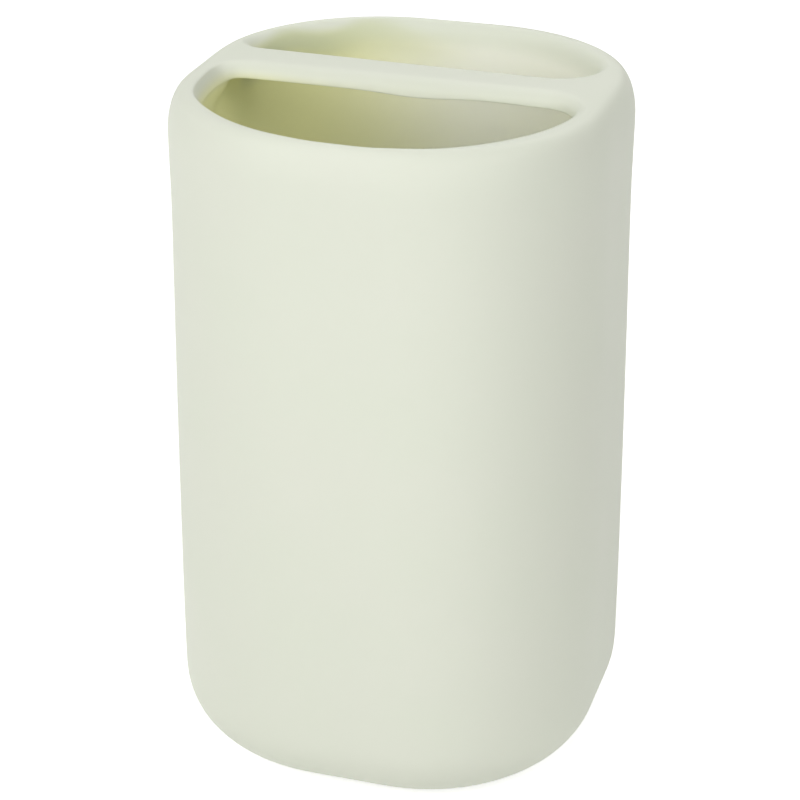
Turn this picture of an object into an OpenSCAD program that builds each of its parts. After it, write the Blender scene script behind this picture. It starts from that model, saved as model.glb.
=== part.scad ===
// Toothbrush holder: a slip-cast stoneware vessel of rounded-square plan. Its mouth is narrowed by a
// thin turned-in rim and parted by a flat bridge, which leaves a wide front slot for brushes and a
// narrower back slot. It stands on four silicone bumper pads in a recess under the floor.
// Millimetres, +Z up. The origin is under the middle of the holder, on the surface that it stands on.
// The bridge runs along X and the front is at -Y.

/* [Holder] */
// Width from side to side
body_w = 69.5; // [62:0.5:84]
// Depth from front to back
body_d = 69.5; // [62:0.5:84]
// Height from the standing surface to the top of the rim
overall_h = 110; // [85:1:140]
// Radius of the four corners, seen from above
corner_r = 28.5; // [24:0.5:30]

/* [Ceramic] */
// Thickness of the side walls
wall_t = 3.8; // [3:0.1:4.4]
// Thickness of the floor
floor_t = 4.4; // [3:0.1:7]
// Radius of the rounded shoulder under the rim
shoulder_r = 4; // [2.5:0.1:4.5]
// Radius of the rounding from the wall to the foot
foot_r = 7.5; // [4:0.5:9]
// Radius inside, from the wall to the floor
cavity_r = 6; // [3:0.5:9]

/* [Mouth] */
// From the outside of the wall to the edge of the mouth, at the middle of a side
mouth_inset = 5.8; // [5.8:0.1:8]
// Straight part of the mouth's shorter sides. The mouth is rounder than the holder itself
mouth_straight = 6; // [2:0.5:9]
// Thickness of the turned-in rim and of the bridge
rim_t = 2.6; // [2.5:0.1:4]
// Rounding that the sponge gives every edge of the mouth
edge_r = 1.2; // [0.6:0.1:1.2]

/* [Divider bridge] */
// Width of the bridge from slot to slot
bridge_w = 10; // [8:0.5:16]
// How far the middle of the bridge lies behind the middle of the holder
bridge_shift = 4; // [-3:0.5:4.5]
// Corner radius of the front slot, where the bridge flares into the rim
front_corner_r = 5.8; // [3:0.1:7]
// Corner radius of the back slot
back_corner_r = 4; // [3:0.1:6]

/* [Foot] */
// Width of the unglazed ring that surrounds the recess
foot_land_w = 3; // [2:0.5:5]
// Depth of the recess under the floor
recess_h = 1.2; // [0.6:0.1:1.8]

/* [Bumper pads] */
// Diameter of a pad
pad_d = 9; // [6:0.5:12]
// Thickness of a pad
pad_t = 2; // [1.9:0.1:3]
// Rounding of a pad's lower edge
pad_edge_r = 0.7; // [0.3:0.1:0.9]
// Clear space between a pad and the corner of the recess
pad_gap = 3; // [1:0.5:5]

/* [Hidden] */
$fn = 96;

stoneware = "#E1E5D7";
silicone = "#EDEFEC";

// Overrun of every cut past the face that it opens
over = 2;
// How far the wall's section reaches in under the floor, where the floor disc takes over
floor_reach = foot_r + foot_land_w + cavity_r / 2;
// Overlap of the floor disc with the wall's section
floor_lap = 1.5;

body_bottom = pad_t - recess_h;
floor_top = body_bottom + floor_t;
rim_under = overall_h - rim_t;
// The fillet between wall and rim takes most of the room beside the rounded edge of the mouth
under_rim_r = (mouth_inset - edge_r - wall_t) * 3 / 4;
// The shoulder ends where the mouth's rounded edge begins
shoulder_used_r = min(shoulder_r, mouth_inset - edge_r);
// The flat crest between shoulder and mouth edge, where it is narrowest
crest_w = mouth_inset - edge_r - shoulder_used_r;
// The bridge butts against the rim on that crest, as measured from the edge of the mouth
seat_out = edge_r + crest_w / 2;
// How far the swept edges reach into the clay, and where the flat between them ends
edge_reach = 2 * edge_r;
flat_reach = 1.5 * edge_r;

// Plan: a rounded square. Centre of the corner arc at the back right
corner_x = body_w / 2 - corner_r;
corner_y = body_d / 2 - corner_r;

// Points on the plan at an inset, a few on each corner arc, anticlockwise from the right
arc_steps = 6;
function plan_points(inset) = [
    for (quarter = [0 : 3], i = [0 : arc_steps])
        let (
            a = 90 * (quarter + i / arc_steps),
            toward = [quarter == 0 || quarter == 3 ? 1 : -1, quarter < 2 ? 1 : -1]
        )
            [toward[0] * corner_x, toward[1] * corner_y] + (corner_r - inset) * [cos(a), sin(a)]
];

// Plan of the mouth: another rounded square, with its own corner arcs
mouth_half_w = body_w / 2 - mouth_inset;
mouth_half_d = body_d / 2 - mouth_inset;
mouth_r = min(mouth_half_w, mouth_half_d) - mouth_straight / 2;
mouth_corner_x = mouth_half_w - mouth_r;
mouth_corner_y = mouth_half_d - mouth_r;

// How far the line y lies past the straight part of the mouth's side, where the corner arc begins
function past_straight(y) = max(abs(y) - mouth_corner_y, 0);

// Half the width of the mouth at an inset from its edge, on the line y
function mouth_x(inset, y) =
    mouth_corner_x + sqrt(pow(mouth_r - inset, 2) - pow(past_straight(y), 2));

// How far the mouth's outward normal leans there from the X axis
function mouth_lean(inset, y) = asin(past_straight(y) / (mouth_r - inset));

// How far each pad lies from the corner arc's centre, towards the corner of the recess
pad_out = corner_r - foot_r - foot_land_w - pad_gap - pad_d / 2;

bridge_front = bridge_shift - bridge_w / 2;
bridge_back = bridge_shift + bridge_w / 2;

// Each rounded slot corner on the right, as its centre, the lean of its tangent line on the mouth's
// edge, 1 for the back slot or -1 for the front one, and its radius
slot_corners = [
    for (side = [-1, 1])
        let (
            r = side < 0 ? front_corner_r : back_corner_r,
            y = (side < 0 ? bridge_front : bridge_back) + side * r
        )
            [[mouth_x(r, y), y], mouth_lean(r, y), side, r]
];

// What a rounding of radius r takes off the corner of a square, with its centre at the origin
module corner_waste(r, toward_x = 1, toward_y = 1)
    scale([toward_x, toward_y])
        difference() {
            square(r + over);
            circle(r);
        }

// Section of wall, shoulder and foot, closed at the top: x is 0 at the outside face and negative inward
module wall_section()
    difference() {
        translate([-floor_reach, body_bottom])
            square([floor_reach, overall_h - body_bottom]);
        translate([-shoulder_used_r, overall_h - shoulder_used_r])
            corner_waste(shoulder_used_r);
        translate([-foot_r, body_bottom + foot_r])
            corner_waste(foot_r, 1, -1);
        cavity_section();
        // The recess inside the foot ring
        translate([-floor_reach - over, body_bottom - over])
            square([floor_reach + over - foot_r - foot_land_w, recess_h + over]);
    }

// The hollow's part of that section, rounded at the floor and under the rim
module cavity_section()
    difference() {
        translate([-floor_reach - over, floor_top])
            square([floor_reach + over - wall_t, rim_under - floor_top]);
        translate([-wall_t - cavity_r, floor_top + cavity_r])
            corner_waste(cavity_r, 1, -1);
        translate([-wall_t - under_rim_r, rim_under - under_rim_r])
            corner_waste(under_rim_r);
    }

// Runs a section once round a rounded square: a straight side and a corner arc, four times
module run_round(centre_x, centre_y, r)
    for (quarter = [0 : 3])
        let (
            turned = quarter % 2 == 1,
            out = turned ? centre_y : centre_x,
            along = turned ? centre_x : centre_y
        )
            rotate(90 * quarter) {
                translate([out + r, along, 0])
                    rotate([90, 0, 0])
                        linear_extrude(2 * along)
                            children();
                translate([out, along, 0])
                    rotate_extrude(angle = 90)
                        translate([r, 0])
                            children();
            }

module round_the_body()
    run_round(corner_x, corner_y, corner_r)
        children();

module round_the_mouth()
    run_round(mouth_corner_x, mouth_corner_y, mouth_r)
        children();

module floor_disc()
    translate([0, 0, body_bottom + recess_h])
        linear_extrude(floor_t - recess_h)
            polygon(plan_points(floor_reach - floor_lap));

// What the mouth takes out of the closed top, with both of its edges left round
module mouth_cut()
    round_the_mouth()
        difference() {
            translate([-floor_reach, rim_under - over])
                square([floor_reach + edge_r, rim_t + 2 * over]);
            edge_section();
        }

// What the bridge's two ends take out of the rim: the lip between the flares' tangent lines
module bridge_seats()
    intersection() {
        translate([0, 0, rim_under - over])
            linear_extrude(rim_t + 2 * over)
                bridge_span();
        round_the_mouth()
            translate([-over, rim_under - over])
                square([over + seat_out, rim_t + 2 * over]);
    }

// Outline that holds the bridge and its flares. Its ends lie on the lines where the flares' arcs
// touch the mouth's edge, and reach past the rim
module bridge_span()
    let (
        right = [
            for (c = slot_corners)
                [c[0], c[0] + (c[3] + mouth_inset + over) * [cos(c[1]), c[2] * sin(c[1])]]
        ],
        half = [right[0][0], right[0][1], right[1][1], right[1][0]]
    )
        polygon(concat(half, [for (i = [3 : -1 : 0]) [-half[i][0], half[i][1]]]));

// Section of the bridge's edge, rounded above and below, with its material on the +X side of x = 0
module edge_section()
    difference() {
        translate([0, rim_under])
            square([edge_reach, rim_t]);
        translate([edge_r, overall_h - edge_r])
            corner_waste(edge_r, -1, 1);
        translate([edge_r, rim_under + edge_r])
            corner_waste(edge_r, -1, -1);
    }

// The rounded edge along the right half of one slot: straight beside the bridge, then round the flare
module slot_edge(corner)
    let (centre = corner[0], lean = corner[1], side = corner[2], r = corner[3])
        translate([0, centre[1], 0])
            mirror([0, side > 0 ? 1 : 0, 0]) {
                translate([0, r, 0])
                    rotate([90, 0, 90])
                        linear_extrude(centre[0])
                            edge_section();
                translate([centre[0], 0, 0])
                    intersection() {
                        rotate_extrude()
                            translate([r, 0])
                                edge_section();
                        translate([0, 0, rim_under - over])
                            linear_extrude(rim_t + 2 * over)
                                flare_sector(r + 2 * edge_reach, lean);
                    }
            }

// Sector of a flare, from its tangent line on the mouth's edge round to the bridge
module flare_sector(reach, lean)
    polygon([[0, 0], [reach, -reach * tan(lean)], [reach, reach], [0, reach]]);

// The flat of the bridge, inside its rounded edges
module bridge_flat()
    translate([0, 0, rim_under])
        linear_extrude(rim_t)
            difference() {
                bridge_span();
                for (c = slot_corners, turn = [-1, 1])
                    translate([turn * c[0][0], c[0][1]])
                        circle(c[3] + flat_reach);
                for (c = slot_corners)
                    translate([0, c[0][1]])
                        square([2 * c[0][0], 2 * (c[3] + edge_r)], center = true);
            }

module body()
    color(stoneware)
        difference() {
            union() {
                round_the_body()
                    wall_section();
                floor_disc();
            }
            mouth_cut();
            bridge_seats();
        }

module divider_bridge()
    color(stoneware)
        difference() {
            union() {
                bridge_flat();
                for (c = slot_corners, turn = [0, 1])
                    mirror([turn, 0, 0])
                        slot_edge(c);
            }
            round_the_mouth()
                translate([seat_out, rim_under - over])
                    square([mouth_inset + edge_reach, rim_t + 2 * over]);
        }

// A bumper pad, seated against the recess and standing proud of the foot ring
module foot_pad(along_x, along_y)
    color(silicone)
        translate([along_x * (corner_x + pad_out * cos(45)), along_y * (corner_y + pad_out * sin(45)), 0])
            rotate_extrude()
                difference() {
                    square([pad_d / 2, pad_t]);
                    translate([pad_d / 2 - pad_edge_r, pad_edge_r])
                        corner_waste(pad_edge_r, 1, -1);
                }

module foot_pad_front_left() foot_pad(-1, -1);
module foot_pad_front_right() foot_pad(1, -1);
module foot_pad_back_left() foot_pad(-1, 1);
module foot_pad_back_right() foot_pad(1, 1);

body();
divider_bridge();
foot_pad_front_left();
foot_pad_front_right();
foot_pad_back_left();
foot_pad_back_right();
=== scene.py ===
# %% [markdown]
# A stoneware toothbrush holder.
# The real one is slip-cast: liquid clay is poured into a plaster mould, a skin of it sets against the
# plaster, and the rest is poured out. The top is then cut open by hand, which leaves a bridge between
# two slots, and every cut edge is wiped round with a wet sponge. A matte celadon glaze covers it all.
# This lesson models that skin as one seamless mesh around the engineering model, which it loads first.

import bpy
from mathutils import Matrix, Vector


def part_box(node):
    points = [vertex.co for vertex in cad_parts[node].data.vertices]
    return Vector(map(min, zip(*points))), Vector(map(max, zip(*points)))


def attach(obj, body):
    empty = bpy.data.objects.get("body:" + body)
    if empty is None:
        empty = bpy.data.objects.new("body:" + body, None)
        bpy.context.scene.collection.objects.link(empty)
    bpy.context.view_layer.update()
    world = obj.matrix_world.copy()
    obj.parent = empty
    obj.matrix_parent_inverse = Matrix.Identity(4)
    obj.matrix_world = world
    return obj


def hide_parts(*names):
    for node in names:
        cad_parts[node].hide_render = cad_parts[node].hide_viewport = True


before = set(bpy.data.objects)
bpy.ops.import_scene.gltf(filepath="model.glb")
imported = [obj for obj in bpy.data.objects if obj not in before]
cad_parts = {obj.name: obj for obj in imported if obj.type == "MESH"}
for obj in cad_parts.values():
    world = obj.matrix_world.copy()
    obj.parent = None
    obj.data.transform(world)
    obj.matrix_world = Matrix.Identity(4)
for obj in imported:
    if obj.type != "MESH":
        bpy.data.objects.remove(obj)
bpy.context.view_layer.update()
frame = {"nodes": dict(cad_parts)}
print("loaded", ", ".join(frame["nodes"]))

# %% [markdown]
# Blender measures in metres, and a potter thinks in millimetres.
# One factor turns the second into the first, and the outer sizes are read from the engineering model, so
# that the looks can never drift away from the construction.

# %% Sizes, in metres
import bisect
import math

import bmesh
import bpy
from mathutils import Matrix, Vector, noise

MM = 0.001

body_low, body_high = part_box("body")
bridge_low, bridge_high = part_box("divider_bridge")
half_width = body_high.x
rim_height = body_high.z
foot_height = body_low.z
bridge_thickness = bridge_high.z - bridge_low.z
wall_thickness = 3.8 * MM
floor_thickness = 4.4 * MM
floor_height = foot_height + floor_thickness
print("holder", round(2 * half_width / MM, 1), "mm wide,", round(rim_height / MM, 1), "mm high")

# %% [markdown]
# The camera comes before the clay, so that every test render can be laid over the photograph.
# It stands 17 degrees to the right of the front and looks down by 25 degrees, through a long lens. A
# long lens keeps the upright walls nearly parallel, as a product photographer wants them.
# Camera and lamps are placed alike: two angles and a distance from the middle of the holder.

# %% Camera
camera_azimuth = 17.3
camera_elevation = 25.4
camera_distance = 380.4 * MM
lens_length = 105.96
shift_across = -0.0040
shift_up = 0.0064


def aim(thing, azimuth, elevation, distance):
    """Adds a camera or a lamp to the scene and turns it to the middle of the holder. The azimuth goes
    from the front to the right and the elevation up from level, both in degrees."""
    around, above = math.radians(azimuth), math.radians(elevation)
    towards_thing = Vector((
        math.sin(around) * math.cos(above),
        -math.cos(around) * math.cos(above),
        math.sin(above),
    ))
    thing.location = Vector((0, 0, rim_height / 2)) + distance * towards_thing
    thing.rotation_euler = towards_thing.to_track_quat("Z", "Y").to_euler()
    bpy.context.scene.collection.objects.link(thing)


camera = bpy.data.objects.new("camera", bpy.data.cameras.new("camera"))
aim(camera, camera_azimuth, camera_elevation, camera_distance)
camera.data.lens = lens_length
camera.data.shift_x = shift_across
camera.data.shift_y = shift_up
camera.data.clip_start = 10 * MM
bpy.context.scene.camera = camera
print("camera at", [round(v, 3) for v in camera.location])

# %% [markdown]
# Seen from above, every outline of the holder is convex: arcs, with straight runs between them.
# Following such an outline gives points and, at each point, the direction outward. Points spread evenly
# along it become the columns of the mesh. A column moved inward along its direction gives the same
# outline one size smaller, which is how the wall gets its inside.

# %% Outlines
arc_points = 60


def trace(arcs):
    """Points and outward directions along a convex outline. Each arc is its centre, its radius and its
    first and last angle in degrees; straight runs join the arcs by themselves."""
    path = []
    for centre, radius, first, last in arcs:
        for i in range(arc_points + 1):
            turn = math.radians(first + (last - first) * i / arc_points)
            outward = Vector((math.cos(turn), math.sin(turn)))
            path.append((Vector(centre) + radius * outward, outward))
    return path


def spread(path, count):
    """Evenly spaced stations along a path, with both ends."""
    lengths = [0]
    for (start, _), (end, _) in zip(path, path[1:]):
        lengths.append(lengths[-1] + (end - start).length)
    stations = []
    for k in range(count + 1):
        goal = lengths[-1] * k / count
        i = min(bisect.bisect_right(lengths, goal), len(path) - 1)
        share = (goal - lengths[i - 1]) / (lengths[i] - lengths[i - 1])
        (before, outward), (after, next_outward) = path[i - 1], path[i]
        stations.append((before.lerp(after, share), outward.lerp(next_outward, share).normalized()))
    return stations


print(arc_points, "points on each arc")

# %% [markdown]
# The body is a rounded square with generous corners, as a plaster mould likes it: no sharp place to hold
# the clay back. Its columns start in the middle of the right side and go round anticlockwise.

# %% Columns of the body
corner_radius = 28.5 * MM
body_corner = half_width - corner_radius
column_count = 112

body_arcs = [((body_corner * x, body_corner * y), corner_radius, first, first + 90)
             for x, y, first in ((1, 1, 0), (-1, 1, 90), (-1, -1, 180), (1, -1, 270))]
middle_right = (Vector((half_width, 0)), Vector((1, 0)))
columns = spread([middle_right] + trace(body_arcs) + [middle_right], column_count)[:-1]
print(column_count, "columns,", round((columns[1][0] - columns[0][0]).length / MM, 2), "mm apart")

# %% [markdown]
# The top was cast closed and then cut open with a knife, so each slot is a half moon: a curve that follows
# the rim on one side, the bridge's straight edge on the other, and a small round corner at both ends.
# A corner touches the mouth's curve from inside, so its centre lies one corner radius short of it.
# A hand holds the knife: left and right corners differ, each slot is turned a little askew, and the cut
# swells in two places. Those few numbers are what tells this holder from a machine-made one.

# %% Slots
bridge_front = -1.1 * MM
bridge_back = 9.1 * MM
swellings = (
    (-27, -16, 6, 0.85),
    (14, -29, 6, 0.4),
)


def cut_wider(flat):
    """How much wider than meant the knife cut at a point of the front slot. Each swelling is x, y, its
    width and how far it goes out, in millimetres."""
    wider = 0
    for x, y, wide, out in swellings:
        away = (flat - MM * Vector((x, y))).length / (MM * wide)
        wider += MM * out * math.exp(-away ** 2)
    return wider


def slot_corner(side, edge, inset, side_inset, mouth_radius, radius):
    """Centre of the mouth's curve, centre of the round corner beside the bridge, and the direction in
    which the two touch, in degrees, all for the right end."""
    middle = Vector((half_width - side_inset - mouth_radius, half_width - inset - mouth_radius))
    up = side * edge + radius
    lean = math.asin((up - middle.y) / (mouth_radius - radius))
    across = middle.x + (mouth_radius - radius) * math.cos(lean)
    return middle, Vector((across, up)), math.degrees(lean)


def slot_path(side, edge, inset, left, right, askew):
    """Two paths round a slot, the first along the mouth and the second back along the bridge. Side is 1
    for the back slot and -1 for the front slot. Left and right are three numbers each: how far the mouth
    stays in from that side, the radius of its curve and the radius of the slot's corner. The whole slot
    is turned askew by some degrees."""
    mirror = Vector((-1, 1))
    left_middle, left_end, left_lean = slot_corner(side, edge, inset, *left)
    right_middle, right_end, right_lean = slot_corner(side, edge, inset, *right)
    left_change = 180 - (left_lean - 90) / 2
    right_change = (right_lean - 90) / 2
    mouth = trace([
        (right_end, right[2], right_change, right_lean),
        (right_middle, right[1], right_lean, 90),
        (left_middle * mirror, left[1], 90, 180 - left_lean),
        (left_end * mirror, left[2], 180 - left_lean, left_change),
    ])
    bridge = trace([
        (left_end * mirror, left[2], left_change, 270),
        (right_end, right[2], 270, 360 + right_change),
    ])
    turn = Matrix.Rotation(math.radians(askew), 2)
    to_side = Vector((1, side))
    turned = [[(turn @ (p * to_side), turn @ (n * to_side)) for p, n in part] for part in (mouth, bridge)]
    return [[(p + cut_wider(p) * n, n) for p, n in part] for part in turned]


front_left = (5.7 * MM, 26 * MM, 3.6 * MM)
front_right = (5.7 * MM, 26 * MM, 6.5 * MM)
back_left = (4.2 * MM, 24 * MM, 2.5 * MM)
back_right = (5 * MM, 25.7 * MM, 6 * MM)
front_slot = slot_path(-1, bridge_front, 4 * MM, front_left, front_right, -0.6)
back_slot = slot_path(1, bridge_back, 5 * MM, back_left, back_right, -2)
for name, slot in (("front", front_slot), ("back", back_slot)):
    reach = [p.x for part in slot for p, n in part]
    print(name, "slot", round((max(reach) - min(reach)) / MM, 1), "mm wide")

# %% [markdown]
# Everywhere round a slot the clay rolls over from the crest of the rim to the edge of the opening. The rim
# rolls broadly, at the back more than in front. The bridge is a plate whose whole edge is one quarter
# round above a crisp lower corner. At the left end of the front slot the knife left a steep scooped face.
# Each kind of edge is five numbers: how wide the roll is and how far it drops, how wide the lower corner
# is and how far that drops, and how flat the roll is. Every station round a slot gets its own mixture,
# so one kind of edge flows into the next as it does under a wet sponge.

# %% Rolled edges
ROLLED_RIM = (1.9 * MM, 1.9 * MM, 0.02 * MM, 0.6 * MM, 0)
BACK_RIM = (2.3 * MM, 4.2 * MM, 0.02 * MM, 0.6 * MM, 0)
BRIDGE_EDGE = (2.6 * MM, bridge_thickness - 0.25 * MM, 0.25 * MM, 0.25 * MM, 0)
SCOOPED_END = (1.1 * MM, 2.8 * MM, 0.1 * MM, 0.3 * MM, 0.8)
bridge_blend = 100
scoop_direction = Vector((-1, -0.1))
scoop_reach = 15
scoop_blend = 45


def ease(share):
    """A share from 0 to 1 that starts and ends gently."""
    share = min(max(share, 0), 1)
    return share * share * (3 - 2 * share)


def mixed(one, other, share):
    return tuple(a + (b - a) * share for a, b in zip(one, other))


def edge_kind(outward, side):
    """The five numbers of the edge at a station that faces this way, of the back slot or the front."""
    from_bridge = math.degrees(outward.angle(Vector((0, -side))))
    rim = BACK_RIM if side == 1 else ROLLED_RIM
    kind = mixed(BRIDGE_EDGE, rim, ease(from_bridge / bridge_blend))
    if side == -1:
        from_scoop = math.degrees(outward.angle(scoop_direction))
        kind = mixed(SCOOPED_END, kind, ease((from_scoop - scoop_reach) / scoop_blend))
    return kind


print("left end of the front slot", [round(v / MM, 1) for v in edge_kind(Vector((-1, 0)), -1)[:3]], "mm")

# %% [markdown]
# The knife rides up and down too, so the lower corner of the bridge's front edge isn't quite straight.
# A few soft swells along it say so. They fade out behind the front edge.

# %% Uneven edge of the bridge
uneven_reach = 5 * MM
raised = 0.15
edge_swells = (
    (2, 6, -0.4),
    (14, 5, 0.15),
)


def uneven(flat):
    """How much higher than meant the lower corner is over a point. Each swell is its x, its width and its
    height, in millimetres."""
    near = math.exp(-((flat.y - bridge_front) / uneven_reach) ** 2)
    swell = raised
    for x, wide, high in edge_swells:
        swell += high * math.exp(-((flat.x / MM - x) / wide) ** 2)
    return near * MM * swell


for x in (-20, 2, 14):
    print("at x", x, "mm raised by", round(uneven(Vector((x * MM, bridge_front))) / MM, 2), "mm")

# %% [markdown]
# The skin's outside is one long profile: out from the middle of the floor, over the foot ring, round the
# foot, up the wall and over the shoulder. The inside goes down the wall and across the floor. A profile is
# a list of insets and heights, with a quarter of an ellipse wherever the clay turns. The foot sags a
# little as clay does, so it is higher than wide. The recess under the floor keeps the middle off the
# kiln shelf.

# %% Profiles of the skin
crest_inset = 2.7 * MM
shoulder_height = 6.6 * MM
foot_wide = 9.6 * MM
foot_high = 10.5 * MM
land_width = 2.4 * MM
recess_depth = 1.2 * MM
recess_rounding = 0.5 * MM
cavity_radius = 6 * MM
inside_top = rim_height - 22 * MM


def quarter(inset, height, wide, high, first, steps):
    """Points round a quarter of an ellipse with its middle at an inset and a height, from a first angle.
    Angle 0 points out of the vessel and 90 points up."""
    turns = [math.radians(first + 90 * i / steps) for i in range(steps + 1)]
    return [(inset - wide * math.cos(t), height + high * math.sin(t)) for t in turns]


def rise(inset, first, last, count):
    """Points straight up or down a wall, without both ends."""
    return [(inset, first + (last - first) * i / count) for i in range(1, count)]


land_inner = foot_wide + land_width
recess_height = foot_height + recess_depth
foot_middle = foot_height + foot_high
shoulder_middle = rim_height - shoulder_height
cavity_inset = wall_thickness + cavity_radius
cavity_middle = floor_height + cavity_radius
outside = (
    [(land_inner + 8 * MM, recess_height), (land_inner + 3 * MM, recess_height)]
    + [(land_inner + recess_rounding, recess_height), (land_inner, recess_height - recess_rounding)]
    + [(land_inner, foot_height + recess_rounding), (land_inner - recess_rounding, foot_height)]
    + quarter(foot_wide, foot_middle, foot_wide, foot_high, -90, 8)
    + rise(0, foot_middle, shoulder_middle, 22)
    + quarter(crest_inset, shoulder_middle, crest_inset, shoulder_height, 0, 8)[:-2]
)
inside = (
    rise(wall_thickness, inside_top, cavity_middle, 18)
    + quarter(cavity_inset, cavity_middle, cavity_radius, cavity_radius, -90, 6)[::-1]
    + [(cavity_inset + step * MM, floor_height) for step in (4, 9)]
)
print(len(outside), "rings outside and", len(inside), "inside")

# %% [markdown]
# Rim and bridge are one surface on the real holder. So near the crest the height depends only on how far a
# point lies in from the outline: it climbs the quarter ellipse of the shoulder and then stays level.

# %% Surface of the top


def top_height(flat):
    """Height of the top's surface over a point."""
    past = Vector([max(abs(v) - body_corner, 0) for v in flat])
    inset = corner_radius - past.length
    share = max(1 - inset / crest_inset, 0)
    return rim_height - shoulder_height * (1 - math.sqrt(1 - share * share))


for inset in (1, 2, 3):
    print(inset, "mm in:", round(top_height(Vector((half_width - inset * MM, 0))) / MM, 2), "mm high")

# %% [markdown]
# The mesh is made of quads only, so that it subdivides without pinching. Rings become bands of quads all
# round, and a floor is a ring drawn in to its middle.

# %% Rings and bands
points = []
quads = []


def add_point(flat, height):
    points.append(Vector((flat.x, flat.y, height)))
    return len(points) - 1


def add_ring(inset, height, shrink=1):
    return [add_point((p - inset * n) * shrink, height) for p, n in columns]


def band(lower, upper, closed=True):
    """Quads between two rows of points, round to the first one again if closed."""
    last = len(lower) if closed else len(lower) - 1
    for i in range(last):
        j = (i + 1) % len(lower)
        quads.append((lower[i], lower[j], upper[j], upper[i]))


def bands(rings):
    for lower, upper in zip(rings, rings[1:]):
        band(lower, upper)


def close_floor(ring, inset, height):
    """Draws a ring in to a point, in steps that keep the quads even."""
    rings = [ring] + [add_ring(inset, height, shrink) for shrink in (0.75, 0.5, 0.25)]
    bands(rings)
    middle = add_point(Vector((0, 0)), height)
    last = rings[-1]
    for i in range(0, len(last), 2):
        quads.append((last[i], last[(i + 1) % len(last)], last[(i + 2) % len(last)], middle))


outer_rings = [add_ring(inset, height) for inset, height in outside]
inner_rings = [add_ring(inset, height) for inset, height in inside]
bands(outer_rings)
bands(inner_rings)
close_floor(outer_rings[0], *outside[0])
close_floor(inner_rings[-1], *inside[-1])
print("wall and floor:", len(quads), "quads")

# %% [markdown]
# At the top the columns split. Those in front and behind run down through the slots, and the few at both
# sides turn into the rows of the bridge. Each slot gets loops of points from the crest down the roll and
# round the lower corner, one station for each column along the mouth and forty along the bridge.

# %% Loops round the slots
seat_before = 1
seat_behind = 4
seat_columns = seat_before + seat_behind
right_front = column_count - seat_before
left_front = column_count // 2 + seat_before
left_back = column_count // 2 - seat_behind
front_count = right_front - left_front
back_count = left_back - seat_behind
bridge_steps = 40
roll_angles = (8, 24, 40, 57, 73, 90)
corner_angles = (45, 90)


def slot_stations(slot, count):
    """Stations round a slot: first those along the mouth, one for each column, then the bridge's."""
    mouth, bridge = slot
    return spread(mouth, count) + spread(bridge, bridge_steps)[1:-1]


def loops_down(stations, side):
    """Loops of points from the crest round a slot down to the lower corner of its edge. Gives the first
    and the last of them."""
    kinds = [edge_kind(n, side) for p, n in stations]
    loops = [[add_point(p + k[0] * n, top_height(p + k[0] * n)) for (p, n), k in zip(stations, kinds)]]
    tops = [points[i] for i in loops[0]]
    for degrees in roll_angles:
        t = math.radians(degrees)
        loop = []
        for (p, n), (_, drop, _, _, flat), top in zip(stations, kinds, tops):
            along = math.sin(t) * (1 - flat) + degrees / 90 * flat
            down = (1 - math.cos(t)) * (1 - flat) + degrees / 90 * flat
            loop.append(add_point(top.xy.lerp(p, along), top.z - (drop - uneven(p)) * down))
        loops.append(loop)
    edges = [points[i].z for i in loops[-1]]
    for degrees in corner_angles:
        t = math.radians(degrees)
        loop = []
        for (p, n), (_, _, wide, high, _), edge in zip(stations, kinds, edges):
            loop.append(add_point(p + wide * (1 - math.cos(t)) * n, edge - high * math.sin(t)))
        loops.append(loop)
    bands(loops)
    return loops[0], loops[-1]


front_top, front_under = loops_down(slot_stations(front_slot, front_count), -1)
back_top, back_under = loops_down(slot_stations(back_slot, back_count), 1)
print(front_count, "columns end in the front slot and", back_count, "in the back slot")

# %% [markdown]
# The bridge is a grid stretched between its two long edges and its two ends, where it is seated in the
# rim. It is made twice, on top and below. Both ends bulge a little towards the wall, which spreads the
# quads where the bridge flares into the rim. What is left is a closed ring that has one point for each
# column again, so the wall can join it.

# %% Bridge between the slots
seat_bulge = 1.6 * MM


def end_of_bridge(start, end, side):
    """Points between two corners of the bridge's grid, bulging towards the wall."""
    made = []
    for i in range(1, seat_columns):
        share = i / seat_columns
        place = points[start].lerp(points[end], share)
        place.x += side * seat_bulge * math.sin(math.pi * share)
        made.append(add_point(place.xy, place.z))
    return made


def bridge_grid(front, back, left, right):
    """Fills the grid between two long edges and two ends, all lists of points that share corners."""
    rows = [front]
    for i in range(1, len(left) - 1):
        across = i / (len(left) - 1)
        row = [left[i]]
        left_bulge = points[left[i]] - points[front[0]].lerp(points[back[0]], across)
        right_bulge = points[right[i]] - points[front[-1]].lerp(points[back[-1]], across)
        for j in range(1, len(front) - 1):
            along = j / (len(front) - 1)
            place = points[front[j]].lerp(points[back[j]], across)
            place += (1 - along) * left_bulge + along * right_bulge
            row.append(add_point(place.xy, place.z))
        rows.append(row + [right[i]])
    rows.append(back)
    for lower, upper in zip(rows, rows[1:]):
        band(lower, upper, closed=False)


def all_round(front_loop, back_loop):
    """Ring of one point for each column, from the two loops and two new ends of the bridge between them,
    whose grid it fills as well."""
    front_mouth, front_straight = front_loop[:front_count + 1], front_loop[front_count + 1:]
    back_mouth, back_straight = back_loop[:back_count + 1], back_loop[back_count + 1:]
    front_mouth = front_mouth[::-1]
    right_end = end_of_bridge(front_mouth[-1], back_mouth[0], 1)
    left_end = end_of_bridge(back_mouth[-1], front_mouth[0], -1)
    bridge_grid([front_mouth[0]] + front_straight + [front_mouth[-1]],
                [back_mouth[-1]] + back_straight + [back_mouth[0]],
                [front_mouth[0]] + left_end[::-1] + [back_mouth[-1]],
                [front_mouth[-1]] + right_end + [back_mouth[0]])
    ring = back_mouth + left_end + front_mouth + right_end
    return ring[-seat_behind:] + ring[:-seat_behind]


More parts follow.
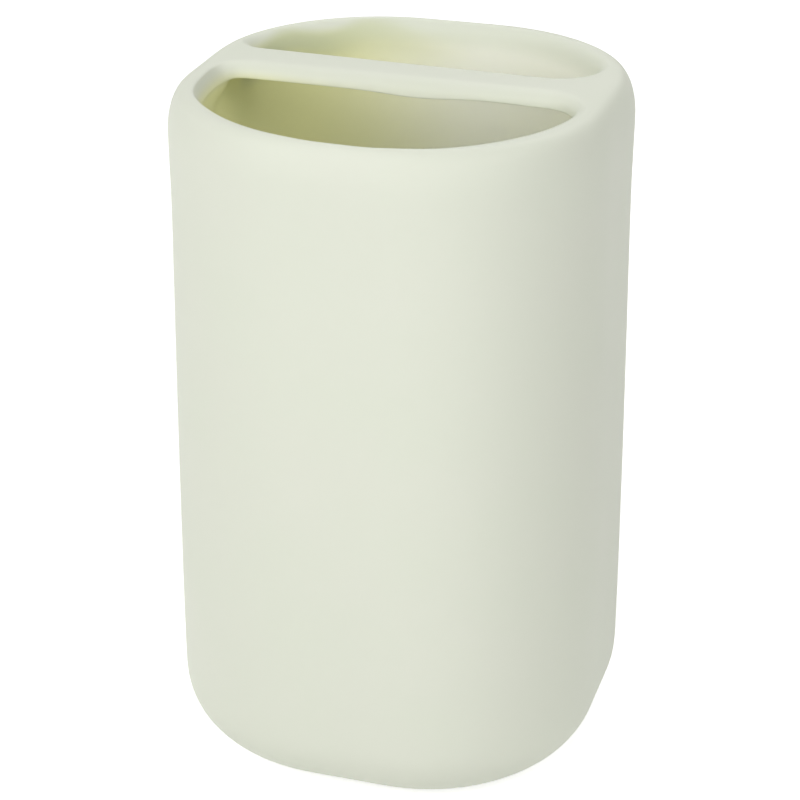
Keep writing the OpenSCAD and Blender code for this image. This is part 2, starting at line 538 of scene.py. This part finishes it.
top_ring = all_round(front_top, back_top)
under_ring = all_round(front_under, back_under)
print("ring of", len(top_ring), "points for", column_count, "columns")

# %% [markdown]
# Two gaps remain. On top, two more rings carry the shoulder on to the crest. Below, the clay thins from
# the lower corner of the mouth out to the inside of the wall. Beside the slots that is a long slope, as
# slip leaves it. Under the bridge the wall is reached sooner, so that the bridge stays a thin plate.

# %% Join the top to the wall
shoulder_steps = (
    (0.33, 0.9 * MM),
    (0.67, 2 * MM),
)
slope_steps = 7
slope_power = 1.6
seat_haste = 4.5
bridge_middle = 4 * MM
seat_half = 3 * MM
seat_fade = 12 * MM


def between(ring, other, share, longest):
    """Ring of new points on the top's surface between two rings, at most so far from the first."""
    made = []
    for a, b in zip(ring, other):
        way = points[b].xy - points[a].xy
        flat = points[a].xy + way * min(share, longest / way.length)
        made.append(add_point(flat, top_height(flat)))
    return made


def under_the_rim(ring, wall):
    """Rings that ease from the lower corner of the mouth out to the inside of the wall."""
    rings = [ring]
    for k in range(1, slope_steps):
        made = []
        share = (k / slope_steps) ** slope_power
        for a, b in zip(ring, wall):
            seat = 1 - ease((abs(points[b].y - bridge_middle) - seat_half) / seat_fade)
            reach = ease(share * (1 + seat_haste * seat))
            flat = points[a].xy.lerp(points[b].xy, reach)
            made.append(add_point(flat, points[a].z + (points[b].z - points[a].z) * share))
        rings.append(made)
    bands(rings + [wall])


last_ring = outer_rings[-1]
shoulder_rings = [between(last_ring, top_ring, share, longest) for share, longest in shoulder_steps]
bands([last_ring, *shoulder_rings, top_ring])
under_the_rim(under_ring, inner_rings[0])
print(len(points), "points,", len(quads), "quads")

# %% [markdown]
# Fired clay is never as true as its drawing. As the kiln dries and shrinks it, the upper wall draws in
# by most of a millimetre, the rim opens again by a little, and the whole top settles backwards. Over a
# few centimetres the wall also sinks and swells by hundredths of a millimetre, which a slow noise field
# gives. Every point moves with its neighbours, so the skin keeps its thickness.

# %% Marks of the kiln
drift = 0.08 * MM
drift_length = 34 * MM
lean_in = 0.85 * MM
lean_from = 20 * MM
lean_power = 1.2
rim_out = 0.3 * MM
rim_out_from = 0.78
rim_out_over = 0.2
rim_back = 0.35 * MM


def moved(point):
    at = point / drift_length
    shift = Vector([noise.noise(at + Vector((seed, 0, 0))) for seed in (3, 17, 41)])
    share = max((point.z - lean_from) / (rim_height - lean_from), 0)
    lean = lean_in * share ** lean_power - rim_out * ease((share - rim_out_from) / rim_out_over)
    kept = point * (1 - (drift + lean) / half_width)
    kept.y += rim_back * share
    kept.z = foot_height + (point.z - foot_height) * (1 - drift / rim_height)
    return kept + drift * shift


points = [moved(p) for p in points]
print("rim now at", round(max(p.z for p in points) / MM, 2), "mm")

# %% [markdown]
# The points and quads become a mesh, shaded smooth and subdivided once, because glazed clay has no facets.
# The shell replaces both the body and the bridge of the engineering model, since the eye sees one piece.

# %% Make the object
mesh = bpy.data.meshes.new("stoneware_shell")
mesh.from_pydata(points, [], quads)
mesh.validate()
shell = bpy.data.objects.new("stoneware_shell", mesh)
bpy.context.scene.collection.objects.link(shell)

work = bmesh.new()
work.from_mesh(mesh)
bmesh.ops.recalc_face_normals(work, faces=work.faces)
open_edges = sum(not e.is_manifold for e in work.edges)
work.to_mesh(mesh)
work.free()
mesh.polygons.foreach_set("use_smooth", [True] * len(mesh.polygons))
smooth = shell.modifiers.new("smooth", "SUBSURF")
smooth.levels = 1
smooth.render_levels = 1
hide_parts("body", "divider_bridge")
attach(shell, "root")
print("open edges:", open_edges)

# %% [markdown]
# Materials start from hex colours, as a designer notes them. Those are sRGB values, and the renderer
# counts in linear light, so one function turns the first into the second. A second function adds a node
# with its settings and links, and three more save typing: a sum, a mixed colour and a soft step.

# %% Material helpers


def linear(code):
    """Linear RGBA from a hex colour such as E3E7D9."""
    parts = [int(code[i:i + 2], 16) / 255 for i in (0, 2, 4)]
    return tuple(p / 12.92 if p <= 0.04045 else ((p + 0.055) / 1.055) ** 2.4 for p in parts) + (1,)


def add_node(tree, kind, settings=(), links=()):
    """Adds a node. Settings name its own properties or its input sockets; links feed its inputs."""
    node = tree.nodes.new(kind)
    for name, value in dict(settings).items():
        if hasattr(node, name):
            setattr(node, name, value)
        else:
            node.inputs[name].default_value = value
    for name, socket in dict(links).items():
        tree.links.new(socket, node.inputs[name])
    return node


def math_node(tree, operation, first, second=0):
    """One sum on a socket or two. Plain numbers are set, sockets are linked."""
    node = add_node(tree, "ShaderNodeMath", {"operation": operation})
    for socket, value in zip(node.inputs, (first, second)):
        if isinstance(value, (int, float)):
            socket.default_value = value
        else:
            tree.links.new(value, socket)
    return node.outputs[0]


def mixed_colour(tree, share, one, other):
    """Colour between two colours, each a hex code or a socket, by the share of a socket."""
    node = add_node(tree, "ShaderNodeMix", {"data_type": "RGBA"})
    tree.links.new(share, node.inputs[0])
    for socket, value in ((node.inputs[6], one), (node.inputs[7], other)):
        if isinstance(value, str):
            socket.default_value = linear(value)
        else:
            tree.links.new(value, socket)
    return node.outputs[2]


def smooth_step(tree, value, low, high):
    """0 below the low value, 1 above the high one and a soft change between them."""
    settings = {"interpolation_type": "SMOOTHSTEP", "From Min": low, "From Max": high}
    return add_node(tree, "ShaderNodeMapRange", settings, {"Value": value}).outputs["Result"]


def new_material(name):
    material = bpy.data.materials.new(name)
    material.use_nodes = True
    material.node_tree.nodes.clear()
    return material, material.node_tree


print("E5E7D9 in linear light:", [round(v, 3) for v in linear("E5E7D9")[:3]])

# %% [markdown]
# Matte celadon glaze on stoneware, sprayed on thin and fired so that fine crystals grow in it. They scatter
# light like an eggshell: no sharp reflection, only a broad sheen where the wall turns away. So roughness is
# above a half, and the IOR is 1.45, a little under window glass. The colour wanders between green and
# cream over a centimetre or so, as the spray lies thicker or thinner.
# Inside, such a glaze is poured in and tipped out. The colour there is painted light and shade: nearly white
# on the right, painted light where little lamp light gets in, and warm yellow on the left, painted shade
# tinted as light bounced between the walls. Behind the bridge runs a greener band of painted shade under the
# back lip.

# %% Glazed stoneware
sprayed_green, sprayed_cream = "E2E7D6", "E5E7D9"
# Inside: painted light, near white on the right, and painted shade, warm yellow on the left.
inside_painted_light, inside_painted_shade = "FBFCF2", "F3F3B8"
# Painted shade in a wavy band under the back lip, behind the bridge.
painted_shade_band = "D3D8B2"
cloud_size = 14 * MM
wave_size = 13 * MM
wave_height = 6 * MM
# The crystals are far finer than a pixel, so they are drawn half a millimetre wide to show at all.
crystal_size = 0.5 * MM
crystal_height = 0.05 * MM
inside_from_corner = corner_radius - 3.3 * MM
inside_floor = 4.6 * MM


def flat_place(tree, x, y):
    """The place seen from above, so that a pattern doesn't change with height."""
    return add_node(tree, "ShaderNodeCombineXYZ", {}, {"X": x, "Y": y}).outputs[0]


def within_the_wall(tree, x, y):
    """1 where a point lies inside the middle of the wall, seen from above."""
    past = []
    for v in (x, y):
        beyond = math_node(tree, "SUBTRACT", math_node(tree, "ABSOLUTE", v), body_corner)
        past.append(math_node(tree, "MAXIMUM", beyond, 0))
    from_corner = add_node(tree, "ShaderNodeVectorMath", {"operation": "LENGTH"},
                           {"Vector": flat_place(tree, *past)})
    return math_node(tree, "LESS_THAN", from_corner.outputs["Value"], inside_from_corner)


def noise_pattern(tree, size, detail, place, roughness=0.5):
    """A soft pattern whose blotches are about as wide as the size."""
    settings = {"Scale": 1 / size, "Detail": detail, "Roughness": roughness}
    return add_node(tree, "ShaderNodeTexNoise", settings, {"Vector": place}).outputs["Fac"]


def shade_band_behind_bridge(tree, y, to_left, depth, wavy):
    """1 in a band of painted shade under the back lip behind the bridge, whose height goes up and down in
    waves.
    """
    wave = math_node(tree, "MULTIPLY", math_node(tree, "SUBTRACT", wavy, 0.5), wave_height)
    lip_depth = math_node(tree, "ADD", depth, wave)
    starts = smooth_step(tree, lip_depth, 0.6 * MM, 2.6 * MM)
    ends = math_node(tree, "SUBTRACT", 1, smooth_step(tree, lip_depth, 3 * MM, 8 * MM))
    behind = math_node(tree, "MULTIPLY", smooth_step(tree, y, 7 * MM, 10 * MM),
                       smooth_step(tree, to_left, -6 * MM, 26 * MM))
    return math_node(tree, "MULTIPLY", math_node(tree, "MULTIPLY", starts, ends), behind)


def celadon_stoneware():
    material, tree = new_material("matte_celadon_stoneware")
    where = add_node(tree, "ShaderNodeTexCoord").outputs["Object"]
    parts = add_node(tree, "ShaderNodeSeparateXYZ", {}, {"Vector": where})
    x, y, z = [parts.outputs[name] for name in "XYZ"]
    to_left = math_node(tree, "MULTIPLY", x, -1)
    depth = math_node(tree, "SUBTRACT", rim_height, z)
    within = within_the_wall(tree, x, y)

    # Painted light and shade inside: near white to the right and warm yellow to the left, from a little
    # under the rim, nearer it on the left, down to the floor.
    left = smooth_step(tree, to_left, -6 * MM, 28 * MM)
    above_floor = math_node(tree, "GREATER_THAN", z, inside_floor)
    nearer_rim = math_node(tree, "ADD", depth, math_node(tree, "MULTIPLY", left, 1 * MM))
    below_rim = smooth_step(tree, nearer_rim, 1.6 * MM, 5 * MM)
    inside_light_and_shade = math_node(tree, "MULTIPLY", math_node(tree, "MULTIPLY", within, above_floor), below_rim)

    # Painted shade under the back lip: a wavy greener band behind the bridge.
    wavy = noise_pattern(tree, wave_size, 0, flat_place(tree, x, y))
    painted_shade_streak = math_node(tree, "MULTIPLY", shade_band_behind_bridge(tree, y, to_left, depth, wavy), within)

    cloud = noise_pattern(tree, cloud_size, 3, where, 0.55)
    glaze = mixed_colour(tree, cloud, sprayed_green, sprayed_cream)
    # Painted light and shade inside, then the band of painted shade behind the bridge.
    glaze = mixed_colour(tree, inside_light_and_shade, glaze, mixed_colour(tree, left, inside_painted_light, inside_painted_shade))
    glaze = mixed_colour(tree, painted_shade_streak, glaze, painted_shade_band)
    crystals = noise_pattern(tree, crystal_size, 2, where, 0.6)
    bump = add_node(tree, "ShaderNodeBump", {"Strength": 0.12, "Distance": crystal_height},
                    {"Height": crystals})
    surface = add_node(tree, "ShaderNodeBsdfPrincipled", {"Roughness": 0.55, "IOR": 1.45},
                       {"Base Color": glaze, "Normal": bump.outputs["Normal"]})
    add_node(tree, "ShaderNodeOutputMaterial", {}, {"Surface": surface.outputs["BSDF"]})
    return material


mesh.materials.append(celadon_stoneware())
print("glaze:", mesh.materials[0].name)

# %% [markdown]
# The four pads are silicone rubber, moulded clear. They lift the hard foot ring off the washstand. Clear
# silicone is soft and slightly cloudy, so light passes a little way into it: subsurface scattering over a
# millimetre, a satin roughness of 0.35 from the mould and an IOR of 1.41. The haze varies over 2 mm.

# %% Silicone pads
haze_size = 2 * MM
scatter_length = 1 * MM


def clear_silicone():
    material, tree = new_material("moulded_clear_silicone")
    where = add_node(tree, "ShaderNodeTexCoord").outputs["Object"]
    tone = mixed_colour(tree, noise_pattern(tree, haze_size, 2, where), "E9ECE8", "DDE1DC")
    surface = add_node(tree, "ShaderNodeBsdfPrincipled",
                       {"Roughness": 0.35, "IOR": 1.41, "Subsurface Weight": 0.4,
                        "Subsurface Scale": scatter_length},
                       {"Base Color": tone})
    add_node(tree, "ShaderNodeOutputMaterial", {}, {"Surface": surface.outputs["BSDF"]})
    return material


silicone = clear_silicone()
pad_names = [name for name in frame["nodes"] if name.startswith("foot_pad")]
for name in pad_names:
    pad = frame["nodes"][name]
    pad.data.materials.clear()
    pad.data.materials.append(silicone)
print(len(pad_names), "pads")

# %% [markdown]
# The holder stands on a sweep of white matte paper. Paper scatters evenly, so a plain diffuse surface will
# do, and it keeps the holder's shadow. The eye should see pure white, so the paper also glows, but only in
# what the camera sees, straight or mirrored, and more where the lamps no longer reach. The glow adds no
# light to the holder's own matte colour. Light Path tells the one from the other.

# %% Paper sweep
glow_near, glow_far = 0.6, 1.0
lamps_fade_from, lamps_fade_to = 0.6, 1.1
sweep_reach = 4


def seen(tree):
    """1 for what the camera sees, straight or by way of a reflection or a clear piece, and 0 for light."""
    path = add_node(tree, "ShaderNodeLightPath").outputs
    mirrored = math_node(tree, "MAXIMUM", path["Is Glossy Ray"], path["Is Transmission Ray"])
    return math_node(tree, "MAXIMUM", path["Is Camera Ray"], mirrored)


def white_paper():
    material, tree = new_material("white_paper_sweep")
    paper = add_node(tree, "ShaderNodeBsdfDiffuse", {"Color": linear("F4F4F4")})
    where = add_node(tree, "ShaderNodeTexCoord").outputs["Object"]
    away = add_node(tree, "ShaderNodeVectorMath", {"operation": "LENGTH"}, {"Vector": where})
    unlit = smooth_step(tree, away.outputs["Value"], lamps_fade_from, lamps_fade_to)
    more = math_node(tree, "MULTIPLY", unlit, glow_far - glow_near)
    strength = math_node(tree, "MULTIPLY", math_node(tree, "ADD", more, glow_near), seen(tree))
    glow = add_node(tree, "ShaderNodeEmission", {"Color": linear("FFFFFF")}, {"Strength": strength})
    both = add_node(tree, "ShaderNodeAddShader")
    tree.links.new(paper.outputs[0], both.inputs[0])
    tree.links.new(glow.outputs[0], both.inputs[1])
    add_node(tree, "ShaderNodeOutputMaterial", {}, {"Surface": both.outputs[0]})
    return material


floor_mesh = bpy.data.meshes.new("floor")
corners = [(x * sweep_reach, y * sweep_reach, 0) for x, y in ((-1, -1), (1, -1), (1, 1), (-1, 1))]
floor_mesh.from_pydata(corners, [], [(0, 1, 2, 3)])
floor_mesh.materials.append(white_paper())
floor = bpy.data.objects.new("floor", floor_mesh)
bpy.context.scene.collection.objects.link(floor)
print("sweep", 2 * sweep_reach, "m wide")

# %% [markdown]
# The studio's walls are white too, and again only to the eye: all the light that shapes the holder comes
# from the lamps. A world with two backgrounds does that, one shown and one lit, with the second at nothing.

# %% Surround
world = bpy.data.worlds.new("studio")
bpy.context.scene.world = world
world.use_nodes = True
world.node_tree.nodes.clear()
sky = world.node_tree
shown = add_node(sky, "ShaderNodeBackground", {"Color": linear("FFFFFF"), "Strength": 1.0})
lit = add_node(sky, "ShaderNodeBackground", {"Color": linear("FFFFFF"), "Strength": 0.0})
pick = add_node(sky, "ShaderNodeMixShader")
sky.links.new(seen(sky), pick.inputs[0])
sky.links.new(lit.outputs[0], pick.inputs[1])
sky.links.new(shown.outputs[0], pick.inputs[2])
add_node(sky, "ShaderNodeOutputWorld", {}, {"Surface": pick.outputs[0]})
print("world:", world.name)

# %% [markdown]
# Six square softboxes stand round the holder, all 1.2 m away and 0.8 m wide, so the shadows are soft. The
# key lamp at the front left is the strongest and gives the face its light. The fill at the front right keeps
# that side from going grey, and the back lamp looks down into the slots and along the bridge. The others
# only lift the two edges and the front. The light of a lamp is counted as what reaches the holder, at which
# a colour renders about as it is written.

# %% Lamps
lamp_distance = 1.2
lamp_width = 0.8
lamps = (
    ("key", -33, 34, 1.72),
    ("front", 14, 27, 0.57),
    ("fill", 62, 36, 1.07),
    ("back", 180, 55, 1.17),
    ("left", -106, 15, 0.34),
    ("right", 120, 22, 0.08),
)

for name, azimuth, elevation, light in lamps:
    softbox = bpy.data.lights.new(name, "AREA")
    softbox.size = lamp_width
    softbox.energy = light * math.pi * lamp_distance ** 2
    aim(bpy.data.objects.new(name, softbox), azimuth, elevation, lamp_distance)
bpy.context.scene.view_settings.view_transform = "Standard"
print(len(lamps), "lamps")
